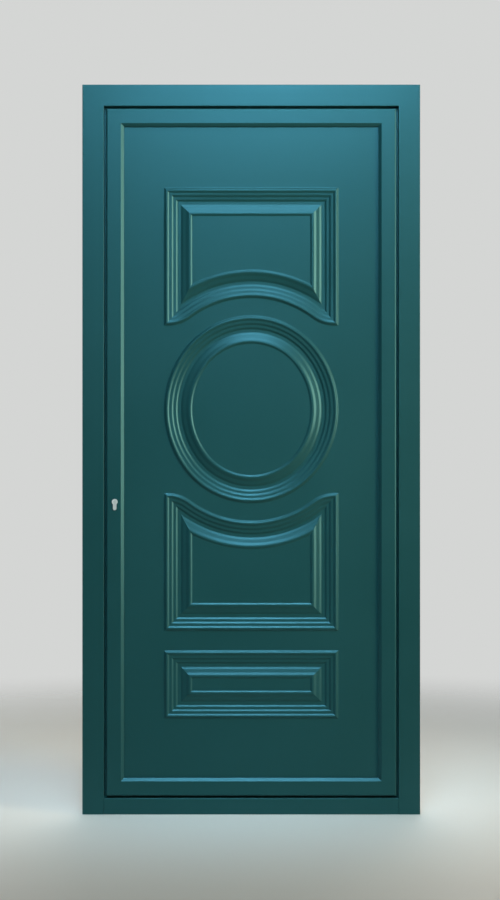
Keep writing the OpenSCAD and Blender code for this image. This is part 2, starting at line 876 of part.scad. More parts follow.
// One step of the relief over the top field, measured from the ring's centre
module arched_field(line, far) {
    intersection() {
        across_x(line, far, 0, field_reach + relief_over);
        under_edge(line, far, field_reach, field_reach, -door_w / 2, door_w / 2);
        arched_edge(line, far);
    }
}

// One step of the relief over the oval ring: four arcs that meet on common normals
module ring_field(line, far) {
    side = radial(closed(run_on(line, ring_side_r), far), ring_side_r, -1);
    end = radial(closed(run_on(line, ring_end_r), far), ring_end_r, -1);
    far_x = 2 * field_w;
    far_z = far_x * ring_cz / ring_cx;
    for (s = [-1, 1]) {
        wedge([-s * ring_cx, 0], [s * (far_x - ring_cx), far_z], [s * (far_x - ring_cx), -far_z])
            turned(-s * ring_cx, 0, -s * 90, 180 - s * 90, side);
        wedge([0, s * ring_cz], [far_x, s * (far_z + ring_cz)], [-far_x, s * (far_z + ring_cz)])
            turned(0, s * ring_cz, s * 90 - 90, s * 90 + 90, end);
    }
}

// One step of the relief over all the fields of the panel
module relief_step(line, far) {
    translate([0, ring_z, 0]) {
        arched_field(line, far);
        mirror([0, 1, 0]) arched_field(line, far);
        ring_field(line, far);
    }
    intersection() {
        across_x(line, far, low_z - relief_over, low_z + low_h + relief_over);
        across_z(line, far, low_z, low_z + low_h);
    }
}

// The panel's front as a solid in its own plane: X across, Y up, Z out of the sheet
module relief(border) {
    difference() {
        union() {
            difference() {
                union() {
                    translate([-sheet_w / 2 - border, sheet_z0 - border, -relief_deep])
                        cube([sheet_w + 2 * border, sheet_z1 - sheet_z0 + 2 * border, relief_deep]);
                    relief_step(ridge_line(), -relief_deep / 2);
                }
                relief_step(terrace_line(), relief_top);
            }
            relief_step(slope_line(), -relief_deep / 2);
        }
        relief_step(field_line(), relief_top);
    }
}

// Stands a piece of the panel up behind the leaf's front bevel
module on_panel() {
    translate([0, sheet_y, 0])
        rotate([90, 0, 0])
            children();
}

module panel_skin() {
    color(panel_paint)
        on_panel()
            difference() {
                relief(0);
                translate([0, 0, -sheet_t]) relief(spare);
            }
}

module panel_core() {
    color(foam)
        on_panel()
            intersection() {
                translate([0, 0, -sheet_t - glue_t]) relief(0);
                translate([-sheet_w / 2, sheet_z0, sheet_t + glue_t - panel_t])
                    cube([sheet_w, sheet_z1 - sheet_z0, panel_t]);
            }
}

module panel_back_sheet() {
    color(inner_paint)
        translate([-sheet_w / 2, panel_back - sheet_t, sheet_z0])
            cube([sheet_w, sheet_t, sheet_z1 - sheet_z0]);
}

module outer_seal() {
    color(rubber)
        ring(plat_u + seal_in, nose_u - seal_in, nose_back, sheet_y);
}

module inner_seal() {
    color(rubber)
        ring(panel_u + seal_in, plat_u + bead_h - seal_in, panel_back, bead_y);
}

// Section of a hollow bead with a sloped seen face
module bead_section() {
    x0 = plat_u + bead_wall;
    x1 = plat_u + bead_h - bead_wall;
    y1 = bead_y + bead_d - bead_wall;
    difference() {
        polygon([[plat_u, bead_y], [plat_u + bead_h, bead_y], [plat_u + bead_h, bead_y + bead_edge],
            [plat_u + bead_h - bead_slope, bead_y + bead_d], [plat_u, bead_y + bead_d]]);
        polygon([[x0, bead_y + bead_wall], [x1, bead_y + bead_wall], [x1, bead_y + bead_edge - bead_wall / 4],
            [x1 - bead_slope + bead_wall / 2, y1], [x0, y1]]);
    }
}

module bead_top() {
    color(frame_paint)
        intersection() {
            top_bar() bead_section();
            translate([plat_u - door_w / 2, 0, 0]) cube([door_w - 2 * plat_u, through_d, door_h]);
        }
}

module bead_bottom() {
    color(frame_paint)
        translate([0, 0, door_h - drop])
            mirror([0, 0, 1])
                intersection() {
                    top_bar() bead_section();
                    translate([plat_u - door_w / 2, 0, 0]) cube([door_w - 2 * plat_u, through_d, door_h]);
                }
}

module bead_lock() {
    z0 = plat_u - drop + bead_h;
    color(frame_paint)
        translate([-door_w / 2, 0, z0])
            linear_extrude(door_h - plat_u - bead_h - z0)
                bead_section();
}

module bead_hinge() {
    z0 = plat_u - drop + bead_h;
    color(frame_paint)
        mirror([1, 0, 0])
            translate([-door_w / 2, 0, z0])
                linear_extrude(door_h - plat_u - bead_h - z0)
                    bead_section();
}

// Blocks that carry and centre the panel in its rebate
module packers() {
    deep = panel_t - 2 * packer_in;
    color(plastic)
        for (s = [0, 1])
            mirror([s, 0, 0]) {
                for (z = [sheet_z0 - panel_room, sheet_z1])
                    translate([sheet_w / 2 - packer_x - packer_l, sheet_y + packer_in, z])
                        cube([packer_l, deep, panel_room]);
                for (z = [sheet_z0 + packer_z, sheet_z1 - packer_z - packer_l])
                    translate([sheet_w / 2, sheet_y + packer_in, z])
                        cube([panel_room, deep, packer_l]);
            }
}

// Places of the screws in the frame wings, their heads on the wings' inner face
module frame_screw_places() {
    for (z = hinge_zs)
        for (s = [-1, 1])
            translate([door_w / 2 - frame_screw_u, back + wing_t, z + s * wing_screw_z])
                rotate([90, 0, 0])
                    children();
}

// Places of the screws in the leaf wings
module leaf_screw_places() {
    for (z = hinge_zs)
        for (s = [-1, 1])
            translate([door_w / 2 - leaf_screw_u, leaf_in + wing_t, z + s * wing_screw_z])
                rotate([90, 0, 0])
                    children();
}

module hinge_frame_wing(z) {
    color(frame_paint)
        difference() {
            union() {
                translate([door_w / 2 - hinge_u - knuckle_r, back, z - hinge_h / 2])
                    cube([hinge_u + knuckle_r - wing_in, wing_t, hinge_h]);
                for (k = [-hinge_h / 2, hinge_h / 2 - frame_knuckle_h]) {
                    translate([axis_x, axis_y, z + k])
                        cylinder(h = frame_knuckle_h, r = knuckle_r, $fn = facets);
                    translate([axis_x - knuckle_web / 2, back, z + k])
                        cube([knuckle_web, hinge_out, frame_knuckle_h]);
                }
            }
            translate([axis_x, axis_y, z - hinge_h / 2 - cut])
                cylinder(h = hinge_h + 2 * cut, r = pin_r, $fn = facets);
            frame_screw_places() screw_hole();
        }
}

module hinge_leaf_wing(z) {
    near = axis_x - knuckle_r - wing_gap;
    far = door_w / 2 - leaf_screw_u - leaf_wing_edge;
    color(frame_paint)
        difference() {
            union() {
                translate([far, leaf_in, z - hinge_h / 2])
                    cube([near - far, wing_t, hinge_h]);
                translate([near - cut, leaf_in, z - leaf_knuckle_h / 2])
                    cube([axis_x - near + cut, wing_t, leaf_knuckle_h]);
                translate([axis_x, axis_y, z - leaf_knuckle_h / 2])
                    cylinder(h = leaf_knuckle_h, r = knuckle_r, $fn = facets);
            }
            translate([axis_x, axis_y, z - hinge_h / 2 - cut])
                cylinder(h = hinge_h + 2 * cut, r = bush_r, $fn = facets);
            leaf_screw_places() screw_hole();
        }
}

module hinge_pin(z) {
    color(steel)
        translate([axis_x, axis_y, z - hinge_h / 2 - pin_head]) {
            cylinder(h = hinge_h + pin_head, r = pin_r, $fn = facets);
            cylinder(h = pin_head, r = knuckle_r - cut, $fn = facets);
        }
}

module hinge_bush(z) {
    color(plastic)
        difference() {
            translate([axis_x, axis_y, z - leaf_knuckle_h / 2])
                cylinder(h = leaf_knuckle_h, r = bush_r, $fn = facets);
            translate([axis_x, axis_y, z - hinge_h / 2])
                cylinder(h = hinge_h, r = pin_r + pin_clear, $fn = facets);
        }
}

module hinge_1_frame_wing() { hinge_frame_wing(hinge_zs[0]); }
module hinge_2_frame_wing() { hinge_frame_wing(hinge_zs[1]); }
module hinge_3_frame_wing() { hinge_frame_wing(hinge_zs[2]); }
module hinge_1_leaf_wing() { hinge_leaf_wing(hinge_zs[0]); }
module hinge_2_leaf_wing() { hinge_leaf_wing(hinge_zs[1]); }
module hinge_3_leaf_wing() { hinge_leaf_wing(hinge_zs[2]); }
module hinge_1_pin() { hinge_pin(hinge_zs[0]); }
module hinge_2_pin() { hinge_pin(hinge_zs[1]); }
module hinge_3_pin() { hinge_pin(hinge_zs[2]); }
module hinge_1_bush() { hinge_bush(hinge_zs[0]); }
module hinge_2_bush() { hinge_bush(hinge_zs[1]); }
module hinge_3_bush() { hinge_bush(hinge_zs[2]); }

module hinge_frame_screws() {
    color(steel) frame_screw_places() screw();
}

module hinge_leaf_screws() {
    color(steel) leaf_screw_places() screw();
}

// Outline of the lock cylinder: a round head over a bar with a rounded foot
module euro_outline(room) {
    foot = cyl_h - cyl_r - cyl_bar / 2;
    circle(r = cyl_r + room, $fn = facets);
    translate([-cyl_bar / 2 - room, -foot]) square([cyl_bar + 2 * room, foot]);
    translate([0, -foot]) circle(r = cyl_bar / 2 + room, $fn = facets);
}

// Block of a sliding bolt inside the case, given by its reach along X and its height
module bolt_block(x0, x1, z, h, grow) {
    translate([x0, lock_y - bolt_w / 2 - grow, z - h / 2 - grow])
        cube([x1 - x0, bolt_w + 2 * grow, h + 2 * grow]);
}

module lock_case() {
    color(steel)
        difference() {
            translate([edge_x, lock_y - case_t / 2, case_z0])
                cube([case_w, case_t, case_h]);
            translate([edge_x + case_wall, lock_y - case_t / 2 + case_wall, case_z0 + case_wall])
                cube([case_w - 2 * case_wall, case_t - 2 * case_wall, case_h - 2 * case_wall]);
            bolt_block(edge_x - cut, edge_x + case_wall + cut, latch_z, latch_h, slide_clear);
            bolt_block(edge_x - cut, edge_x + case_wall + cut, dead_z, dead_h, slide_clear);
            translate([lock_x, lock_y + case_t, cyl_z])
                rotate([90, 0, 0])
                    linear_extrude(2 * case_t)
                        euro_outline(cyl_clear);
            translate([lock_x, lock_y + case_t, lever_z])
                rotate([90, 0, 0])
                    cylinder(h = 2 * case_t, r = follower_r + turn_clear, $fn = facets);
            translate([edge_x - cut, lock_y, fix_z])
                rotate([0, 90, 0])
                    cylinder(h = case_wall + 2 * cut, r = fix_r + screw_clear, $fn = facets);
        }
}

module lock_faceplate() {
    color(steel)
        difference() {
            translate([face_x, lock_y - plate_w / 2, case_z0 - plate_over])
                cube([plate_t, plate_w, case_h + 2 * plate_over]);
            bolt_block(face_x - cut, edge_x + cut, latch_z, latch_h, slide_clear);
            bolt_block(face_x - cut, edge_x + cut, dead_z, dead_h, slide_clear);
            for (z = plate_screw_zs)
                translate([face_x, lock_y, z])
                    rotate([0, 90, 0])
                        screw_hole();
            translate([face_x - cut, lock_y, fix_z])
                rotate([0, 90, 0])
                    cylinder(h = plate_t + 2 * cut, r = fix_r + screw_clear, $fn = facets);
            translate([face_x, lock_y, fix_z])
                rotate([0, 90, 0])
                    cylinder(h = fix_head_h, r1 = fix_head_r, r2 = fix_r + screw_clear, $fn = facets);
        }
}

module lock_screws() {
    color(steel)
        for (z = plate_screw_zs)
            translate([face_x, lock_y, z])
                rotate([0, 90, 0])
                    screw();
}

// Latch with a sloped nose and a forked tail that ends in a hook behind the follower's arm
module latch() {
    tip = face_x - latch_out;
    hook = lock_x - latch_hook;
    fork_t = arm_t + 2 * fork_room;
    big = 3 * latch_out;
    color(steel)
        difference() {
            bolt_block(tip, lock_x, latch_z, latch_h, 0);
            translate([tip, lock_y + bolt_w / 2, latch_z])
                rotate([0, 0, latch_slope])
                    translate([-big, -latch_bite, -latch_h])
                        cube([big, big, 2 * latch_h]);
            translate([hook - latch_fork, lock_y - fork_t / 2, latch_z - latch_h])
                cube([latch_fork, fork_t, 2 * latch_h]);
        }
}

// Dead bolt with a notch under its tail for the cam
module dead_bolt() {
    tip = face_x + dead_back;
    end = lock_x - dead_tail;
    color(steel)
        difference() {
            bolt_block(tip, end, dead_z, dead_h, 0);
            translate([end - notch_tail - notch_w, lock_y - bolt_w, dead_z - dead_h / 2 - cut])
                cube([notch_w, 2 * bolt_w, notch_h + cut]);
        }
}

// Square-holed follower with the arm that draws the latch
module follower() {
    hole = spindle + 2 * spindle_clear;
    color(steel)
        translate([lock_x, lock_y, lever_z])
            rotate([90, 0, 0])
                difference() {
                    union() {
                        cylinder(h = case_t - case_clear, r = follower_r, center = true, $fn = facets);
                        rotate([0, 0, arm_ang])
                            translate([-arm_w / 2, 0, -arm_t / 2])
                                cube([arm_w, arm_l, arm_t]);
                    }
                    cube([hole, hole, 2 * case_t], center = true);
                }
}

module cylinder_body() {
    long = cyl_y1 - cyl_y0;
    slot = cam_w + 2 * cam_clear;
    color(raw_metal)
        difference() {
            translate([lock_x, cyl_y1, cyl_z])
                rotate([90, 0, 0])
                    linear_extrude(long)
                        euro_outline(0);
            translate([lock_x, cyl_y1 + cut, cyl_z])
                rotate([90, 0, 0])
                    cylinder(h = long + 2 * cut, r = plug_r + turn_clear, $fn = facets);
            translate([lock_x - cyl_h, lock_y - slot / 2, cyl_z - cam_r - cam_clear])
                cube([2 * cyl_h, slot, 2 * cyl_h]);
            translate([lock_x - cyl_h, lock_y, fix_z])
                rotate([0, 90, 0])
                    cylinder(h = 2 * cyl_h, r = fix_r, $fn = facets);
        }
}

// Plug with its keyway, seen from outside
module cylinder_plug() {
    long = lock_y - cam_w / 2 - cyl_y0;
    color(raw_metal)
        difference() {
            translate([lock_x, cyl_y0 + long, cyl_z])
                rotate([90, 0, 0])
                    cylinder(h = long, r = plug_r, $fn = facets);
            translate([lock_x - keyway / 2, cyl_y0 - cut, cyl_z - plug_r + keyway_in])
                cube([keyway, keyway_d + cut, 2 * (plug_r - keyway_in)]);
        }
}

// Cam between the two halves of the cylinder
module cylinder_cam() {
    color(steel)
        translate([lock_x, lock_y, cyl_z])
            rotate([90, 0, 0])
                union() {
                    cylinder(h = cam_w, r = plug_r, center = true, $fn = facets);
                    intersection() {
                        translate([-cam_arm / 2, 0, -cam_w / 2]) cube([cam_arm, 2 * cam_r, cam_w]);
                        cylinder(h = cam_w, r = cam_r, center = true, $fn = facets);
                    }
                }
}

// Inner half of the plug with the thumb turn
module thumb_turn() {
    y0 = lock_y + cam_w / 2;
    foot_y = cyl_y1 + turn_gap;
    color(raw_metal)
        difference() {
            union() {
                translate([lock_x, foot_y, cyl_z])
                    rotate([90, 0, 0])
                        cylinder(h = foot_y - y0, r = plug_r, $fn = facets);
                translate([lock_x, foot_y + turn_l, cyl_z])
                    rotate([90, 0, 0])
                        cylinder(h = turn_l, r = turn_r, $fn = facets);
            }
            for (s = [0, 1])
                translate([lock_x, 0, cyl_z])
                    mirror([s, 0, 0])
                        translate([turn_grip / 2, foot_y + turn_foot, -2 * turn_r])
                            cube([2 * turn_r, turn_l, 4 * turn_r]);
        }
}

module cylinder_screw() {
    color(steel)
        translate([face_x, lock_y, fix_z])
            rotate([0, 90, 0]) {
                cylinder(h = fix_head_h, r1 = fix_head_r, r2 = fix_r, $fn = facets);
                cylinder(h = lock_x - face_x, r = fix_r, $fn = facets);
            }
}

// Places of the two screws that hold the rose
module rose_screw_places() {
    for (s = [-1, 1])
        translate([lock_x, leaf_in + rose_floor, lever_z + s * rose_screw_z])
            rotate([90, 0, 0])
                children();
}

// Round cup under the lever: a floor that is screwed on and a rim with a bearing hole
module lever_rose() {
    color(raw_metal)
        difference() {
            translate([lock_x, leaf_in, lever_z])
                rotate([-90, 0, 0])
                    difference() {
                        union() {
                            cylinder(h = rose_t - rose_edge, r = rose_r, $fn = facets);
                            translate([0, 0, rose_t - rose_edge])
                                cylinder(h = rose_edge, r1 = rose_r, r2 = rose_r - rose_edge, $fn = facets);
                        }
                        translate([0, 0, -cut])
                            cylinder(h = rose_t + 2 * cut, r = grip_r + neck_over + turn_clear, $fn = facets);
                        for (s = [-1, 1])
                            translate([0, s * rose_screw_z, rose_floor - lap])
                                cylinder(h = rose_t, r = screw_head_r, $fn = facets);
                    }
            rose_screw_places() screw_hole();
        }
}

module rose_screws() {
    color(steel) rose_screw_places() screw();
}

module lever_spindle() {
    y0 = lock_y - case_t / 2 + case_wall;
    color(steel)
        translate([lock_x - spindle / 2, y0, lever_z - spindle / 2])
            cube([spindle, leaf_in + spindle_in - y0, spindle]);
}

// Lever: a neck out of the rose, a bend and a round grip along the leaf
module lever_handle() {
    neck = lever_out - lever_bend;
    hole = spindle + 2 * spindle_clear;
    color(raw_metal)
        difference() {
            translate([lock_x, leaf_in, lever_z])
                union() {
                    rotate([-90, 0, 0])
                        translate([0, 0, neck_gap])
                            cylinder(h = rose_t + neck_out - neck_gap, r = grip_r + neck_over, $fn = facets);
                    rotate([-90, 0, 0])
                        translate([0, 0, rose_t + neck_out])
                            cylinder(h = neck - rose_t - neck_out, r = grip_r, $fn = facets);
                    translate([lever_bend, neck, 0])
                        rotate([0, 0, 90])
                            rotate_extrude(angle = 90, $fn = facets)
                                translate([lever_bend, 0])
                                    circle(r = grip_r, $fn = facets);
                    translate([lever_bend, lever_out, 0])
                        rotate([0, 90, 0])
                            cylinder(h = lever_l - lever_bend - grip_end, r = grip_r, $fn = facets);
                    translate([lever_l - grip_end, lever_out, 0])
                        rotate([0, 90, 0])
                            cylinder(h = grip_end, r1 = grip_r, r2 = grip_r - grip_edge, $fn = facets);
                }
            translate([lock_x - hole / 2, leaf_in - cut, lever_z - hole / 2])
                cube([hole, spindle_in + cut, hole]);
        }
}

frame_jamb_lock();
frame_jamb_hinge();
frame_head();
frame_sill();
frame_keys();
sill_brackets();
sill_screws();
stop_seal();
strike_plate();
strike_screws();
leaf_stile_lock();
leaf_stile_hinge();
leaf_rail_top();
leaf_rail_bottom();
leaf_keys();
lip_seal();
panel_skin();
panel_core();
panel_back_sheet();
outer_seal();
inner_seal();
bead_top();
bead_bottom();
bead_lock();
bead_hinge();
packers();
hinge_1_frame_wing();
hinge_2_frame_wing();
hinge_3_frame_wing();
hinge_1_leaf_wing();
hinge_2_leaf_wing();
hinge_3_leaf_wing();
hinge_1_pin();
hinge_2_pin();
hinge_3_pin();
hinge_1_bush();
hinge_2_bush();
hinge_3_bush();
hinge_frame_screws();
hinge_leaf_screws();
lock_case();
lock_faceplate();
lock_screws();
latch();
dead_bolt();
follower();
cylinder_body();
cylinder_plug();
cylinder_cam();
thumb_turn();
cylinder_screw();
lever_rose();
rose_screws();
lever_spindle();
lever_handle();
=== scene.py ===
import json
import math

import bpy
import numpy as np
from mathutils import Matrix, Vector
from mathutils.geometry import delaunay_2d_cdt


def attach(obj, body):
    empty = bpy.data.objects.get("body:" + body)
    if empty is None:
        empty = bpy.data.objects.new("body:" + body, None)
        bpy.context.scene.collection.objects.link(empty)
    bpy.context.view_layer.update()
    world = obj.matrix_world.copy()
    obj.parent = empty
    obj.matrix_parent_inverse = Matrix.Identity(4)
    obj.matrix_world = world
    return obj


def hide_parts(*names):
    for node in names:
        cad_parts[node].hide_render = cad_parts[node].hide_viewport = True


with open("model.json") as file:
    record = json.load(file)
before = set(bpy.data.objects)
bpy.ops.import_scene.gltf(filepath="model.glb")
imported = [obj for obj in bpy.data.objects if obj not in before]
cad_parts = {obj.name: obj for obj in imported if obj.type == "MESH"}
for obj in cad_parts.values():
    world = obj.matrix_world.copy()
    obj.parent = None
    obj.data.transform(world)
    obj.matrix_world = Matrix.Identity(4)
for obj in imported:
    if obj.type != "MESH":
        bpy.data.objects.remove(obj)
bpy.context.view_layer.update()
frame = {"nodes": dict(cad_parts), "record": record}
nodes = frame["nodes"]
scene = bpy.context.scene
print("frame loaded,", len(nodes), "nodes")


def toLinear(hexColour):
    # sRGB hex to linear light, channel by channel
    s = np.array([int(hexColour[i:i + 2], 16) for i in (1, 3, 5)]) / 255
    lin = np.where(s <= 0.04045, s / 12.92, ((s + 0.055) / 1.055) ** 2.4)
    return tuple(lin.tolist()) + (1.0,)


def addNode(tree, kind, settings=None, links=None):
    # settings are properties by name or input sockets by name or number, links are {input: (node, output)}
    node = tree.nodes.new(kind)
    for key, value in (settings or {}).items():
        if isinstance(key, str) and hasattr(node, key):
            setattr(node, key, value)
        else:
            node.inputs[key].default_value = value
    for key, (source, output) in (links or {}).items():
        tree.links.new(source.outputs[output], node.inputs[key])
    return node


def newMaterial(name):
    mat = bpy.data.materials.new(name)
    mat.use_nodes = True
    mat.node_tree.nodes.clear()
    return mat, mat.node_tree


def perMetre(mm):
    # noise scale for features about this many millimetres across
    return 1000.0 / mm


def objectNoise(tree, place, mm, detail, roughness=0.5):
    return addNode(tree, "ShaderNodeTexNoise", {"Scale": perMetre(mm), "Detail": detail, "Roughness": roughness},
                   {"Vector": (place, "Object")})


def mixColour(tree, links, first=None, second=None):
    # sockets 6 and 7 of a colour mix are its two colours; one that isn't given comes by a link
    given = {6: first, 7: second}
    settings = {"data_type": "RGBA"}
    settings.update({k: v for k, v in given.items() if v is not None})
    return addNode(tree, "ShaderNodeMix", settings, links)


paintSettings = {
    "colour": "#163d3c",       # deep teal
    "dust": "#1b4241",         # the same paint under a thin film of dust
    "cloudMm": 340,            # slow drift of tone over the door
    "peelMm": 5.0,             # orange peel of a powder coat is 1 to 2 mm, drawn coarser so that it shows
    "peelHigh": 0.00003,
    "grainMm": 1.6,            # speck of the powder, also drawn coarse
    "pearl": "#9ceeff",        # fine mica in the powder tints what it mirrors
    "roughness": (0.34, 0.40),
}


def powderCoat(name, s):
    # polyester powder coat baked on aluminium: satin, slightly pearly, faint orange peel, even colour with
    # a slow drift of tone and gloss
    mat, tree = newMaterial(name)
    place = addNode(tree, "ShaderNodeTexCoord")
    cloud = objectNoise(tree, place, s["cloudMm"], 4.0, 0.55)
    speck = objectNoise(tree, place, s["grainMm"], 1.0)
    drift = addNode(tree, "ShaderNodeMapRange", {1: 0.35, 2: 0.68, 3: 0.0, 4: 0.5}, {0: (cloud, 0)})
    fleck = addNode(tree, "ShaderNodeMapRange", {1: 0.58, 2: 0.75, 3: 0.0, 4: 0.18}, {0: (speck, 0)})
    film = addNode(tree, "ShaderNodeMath", {"operation": "ADD"}, {0: (drift, 0), 1: (fleck, 0)})
    tone = mixColour(tree, {0: (film, 0)}, toLinear(s["colour"]), toLinear(s["dust"]))
    gloss = addNode(tree, "ShaderNodeMapRange", {1: 0.3, 2: 0.7, 3: s["roughness"][0], 4: s["roughness"][1]},
                    {0: (cloud, 0)})
    peel = objectNoise(tree, place, s["peelMm"], 2.0, 0.4)
    bump = addNode(tree, "ShaderNodeBump", {"Strength": 1.0, "Distance": s["peelHigh"]}, {"Height": (peel, 0)})
    coat = addNode(tree, "ShaderNodeBsdfPrincipled", {"IOR": 1.5, "Specular Tint": toLinear(s["pearl"])},
                   {"Base Color": (tone, 2), "Roughness": (gloss, 0), "Normal": (bump, 0)})
    addNode(tree, "ShaderNodeOutputMaterial", None, {"Surface": (coat, 0)})
    return mat


metalSettings = {
    "rawAluminium": {"colour": "#c4c6c8", "mark": "#a9abae", "roughness": (0.32, 0.5),
                     "lineMm": (90, 1.2, 1.2), "smearMm": 30},
    "zincSteel": {"colour": "#b4b8bd", "mark": "#969aa2", "roughness": (0.24, 0.42),
                  "lineMm": (7, 7, 7), "smearMm": 30},
    "satinNickel": {"colour": "#e8e5de", "mark": "#d2cec4", "roughness": (0.55, 0.68),
                    "lineMm": (60, 1.0, 1.0), "smearMm": 30},
}


def metalFinish(name, s):
    # bare metal: stretched noise is the draw or brush line of mill aluminium and satin nickel, and the
    # round patches of zinc plating on steel
    mat, tree = newMaterial(name)
    place = addNode(tree, "ShaderNodeTexCoord")
    stretch = addNode(tree, "ShaderNodeMapping", {"Scale": [perMetre(v) for v in s["lineMm"]]},
                      {"Vector": (place, "Object")})
    line = addNode(tree, "ShaderNodeTexNoise", {"Scale": 1.0, "Detail": 5.0, "Roughness": 0.6},
                   {"Vector": (stretch, 0)})
    smear = objectNoise(tree, place, s["smearMm"], 3.0)
    tone = mixColour(tree, {0: (line, 0)}, toLinear(s["colour"]), toLinear(s["mark"]))
    gloss = addNode(tree, "ShaderNodeMapRange", {1: 0.3, 2: 0.7, 3: s["roughness"][0], 4: s["roughness"][1]},
                    {0: (smear, 0)})
    bump = addNode(tree, "ShaderNodeBump", {"Strength": 0.6, "Distance": 0.00002}, {"Height": (line, 0)})
    metal = addNode(tree, "ShaderNodeBsdfPrincipled", {"Metallic": 1.0},
                    {"Base Color": (tone, 2), "Roughness": (gloss, 0), "Normal": (bump, 0)})
    addNode(tree, "ShaderNodeOutputMaterial", None, {"Surface": (metal, 0)})
    return mat


softSettings = {
    "sealRubber": {"colour": "#141516", "mark": "#232425", "grainMm": 2.0, "roughness": 0.62, "high": 0.00005},
    "foamCore": {"colour": "#e0d4ac", "mark": "#c9ba8c", "grainMm": 2.5, "roughness": 0.95, "high": 0.0004},
    "blackNylon": {"colour": "#18191b", "mark": "#26282a", "grainMm": 1.2, "roughness": 0.5, "high": 0.00004},
}


def mouldedFinish(name, s):
    # extruded rubber, blown foam or moulded nylon: dull, with a fine cell or grain in colour and bump
    mat, tree = newMaterial(name)
    place = addNode(tree, "ShaderNodeTexCoord")
    cell = addNode(tree, "ShaderNodeTexVoronoi", {"Scale": perMetre(s["grainMm"])},
                   {"Vector": (place, "Object")})
    dustMm = 45
    dust = objectNoise(tree, place, dustMm, 4.0)
    tone = mixColour(tree, {0: (dust, 0)}, toLinear(s["colour"]), toLinear(s["mark"]))
    bump = addNode(tree, "ShaderNodeBump", {"Strength": 1.0, "Distance": s["high"]}, {"Height": (cell, 0)})
    body = addNode(tree, "ShaderNodeBsdfPrincipled", {"Roughness": s["roughness"], "IOR": 1.5},
                   {"Base Color": (tone, 2), "Normal": (bump, 0)})
    addNode(tree, "ShaderNodeOutputMaterial", None, {"Surface": (body, 0)})
    return mat


finishes = {
    "profile_paint": powderCoat("powderCoatProfile", paintSettings),
    "panel_paint": powderCoat("powderCoatPanel", dict(paintSettings, cloudMm=420)),
    "inner_paint": powderCoat("powderCoatInside", dict(paintSettings, cloudMm=260)),
    "hinge_paint": powderCoat("powderCoatHinge", dict(paintSettings, cloudMm=60)),
    "raw_aluminium": metalFinish("millAluminium", metalSettings["rawAluminium"]),
    "steel": metalFinish("zincPlatedSteel", metalSettings["zincSteel"]),
    "satin_nickel": metalFinish("satinNickel", metalSettings["satinNickel"]),
    "seal_rubber": mouldedFinish("extrudedRubber", softSettings["sealRubber"]),
    "core_board": mouldedFinish("blownFoam", softSettings["foamCore"]),
    "plastic": mouldedFinish("blackNylon", softSettings["blackNylon"]),
}


def setFinish(obj, slotName):
    obj.data.materials.clear()
    obj.data.materials.append(finishes[slotName])


for row in frame["record"]["subparts"]:
    setFinish(nodes[row["node"]], row["material_slot"])
print("finishes set:", len(finishes))


def gridFaces(rows, cols, start=0):
    i = np.arange(rows * cols).reshape(rows, cols) + start
    return np.stack([i[:-1, :-1], i[:-1, 1:], i[1:, 1:], i[1:, :-1]], axis=-1).reshape(-1, 4)


def addSurface(name, points, quads, tris, slotName, body, replaced, crease=30):
    # points in metres; equal points become one, so that the patches close on each other
    spots, index = np.unique(np.round(points, 7), axis=0, return_inverse=True)
    faces = index.reshape(-1)[quads].tolist() + index.reshape(-1)[tris].tolist()
    mesh = bpy.data.meshes.new(name)
    mesh.from_pydata(spots.tolist(), [], faces)
    mesh.set_sharp_from_angle(angle=math.radians(crease))
    mesh.polygons.foreach_set("use_smooth", np.arange(len(faces)) < len(quads))   # the triangles are flats
    mesh.update()
    obj = bpy.data.objects.new(name, mesh)
    scene.collection.objects.link(obj)
    setFinish(obj, slotName)
    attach(obj, body)
    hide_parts(*replaced)
    return obj


# pressed sheet of the panel, sizes in millimetres
sheet = {
    "half": 383.0, "low": 101.0, "high": 2043.0, "front": -13.0, "thick": 1.5,
    "ringZ": 1199.0, "fieldHalf": 259.0, "reach": 658.0,
    "endR": 249.0, "endZ": 30.0, "sideR": 299.0, "sideX": 40.0,       # four arcs of the ring
    "archR": 300.0, "flareR": 110.0, "flareX": 246.0, "flareZ": 358.0,   # dished edge of the two tall fields
    "lowZ": 281.0, "lowHigh": 204.0,
    "ridgeIn": 7.5, "ridgeHigh": 5.0, "ridgeEnd": 9.8, "terraces": 3, "pitch": 12.5, "run": 6.5, "fall": 3.3,
    "land": 0.5, "slopeIn": 49.0, "slopeWide": 27.0, "lipHigh": 4.0, "lipEnd": 79.0, "lipFall": 5.5,
    "innerHigh": 1.0, "valleySink": 1.0, "foldR": 1.1, "outside": -3.0, "inside": 88.0,
    "rowStep": 4.0, "archColumns": 73, "sideColumns": 5, "ringColumns": 145,
}
softStep = np.array([[0, 0], [0.22, 0.12], [0.78, 0.88], [1, 1]])
ogee = np.array([[0, 0], [0.26, 0.36], [0.64, 0.62], [0.9, 0.95], [1, 1]])


def mouldingLine(s):
    # corner points of the moulding: a soft step up to the ridge, three steps down to the valley, an ogee up
    # to the lip and a soft step down to the inner field
    valley = s["ridgeHigh"] - s["terraces"] * s["fall"] - (s["terraces"] - 1) * s["land"]
    parts = [softStep * [s["ridgeIn"], s["ridgeHigh"]]]
    for k in range(s["terraces"]):
        start = [s["ridgeEnd"] + k * s["pitch"], s["ridgeHigh"] - k * (s["fall"] + s["land"])]
        parts.append(start + softStep * [s["run"], -s["fall"]])
    bottom = valley - s["valleySink"]
    parts.append([s["slopeIn"], bottom] + ogee * [s["slopeWide"], s["lipHigh"] - bottom])
    parts.append([s["lipEnd"], s["lipHigh"]] + softStep * [s["lipFall"], s["innerHigh"] - s["lipHigh"]])
    return np.vstack(parts), valley


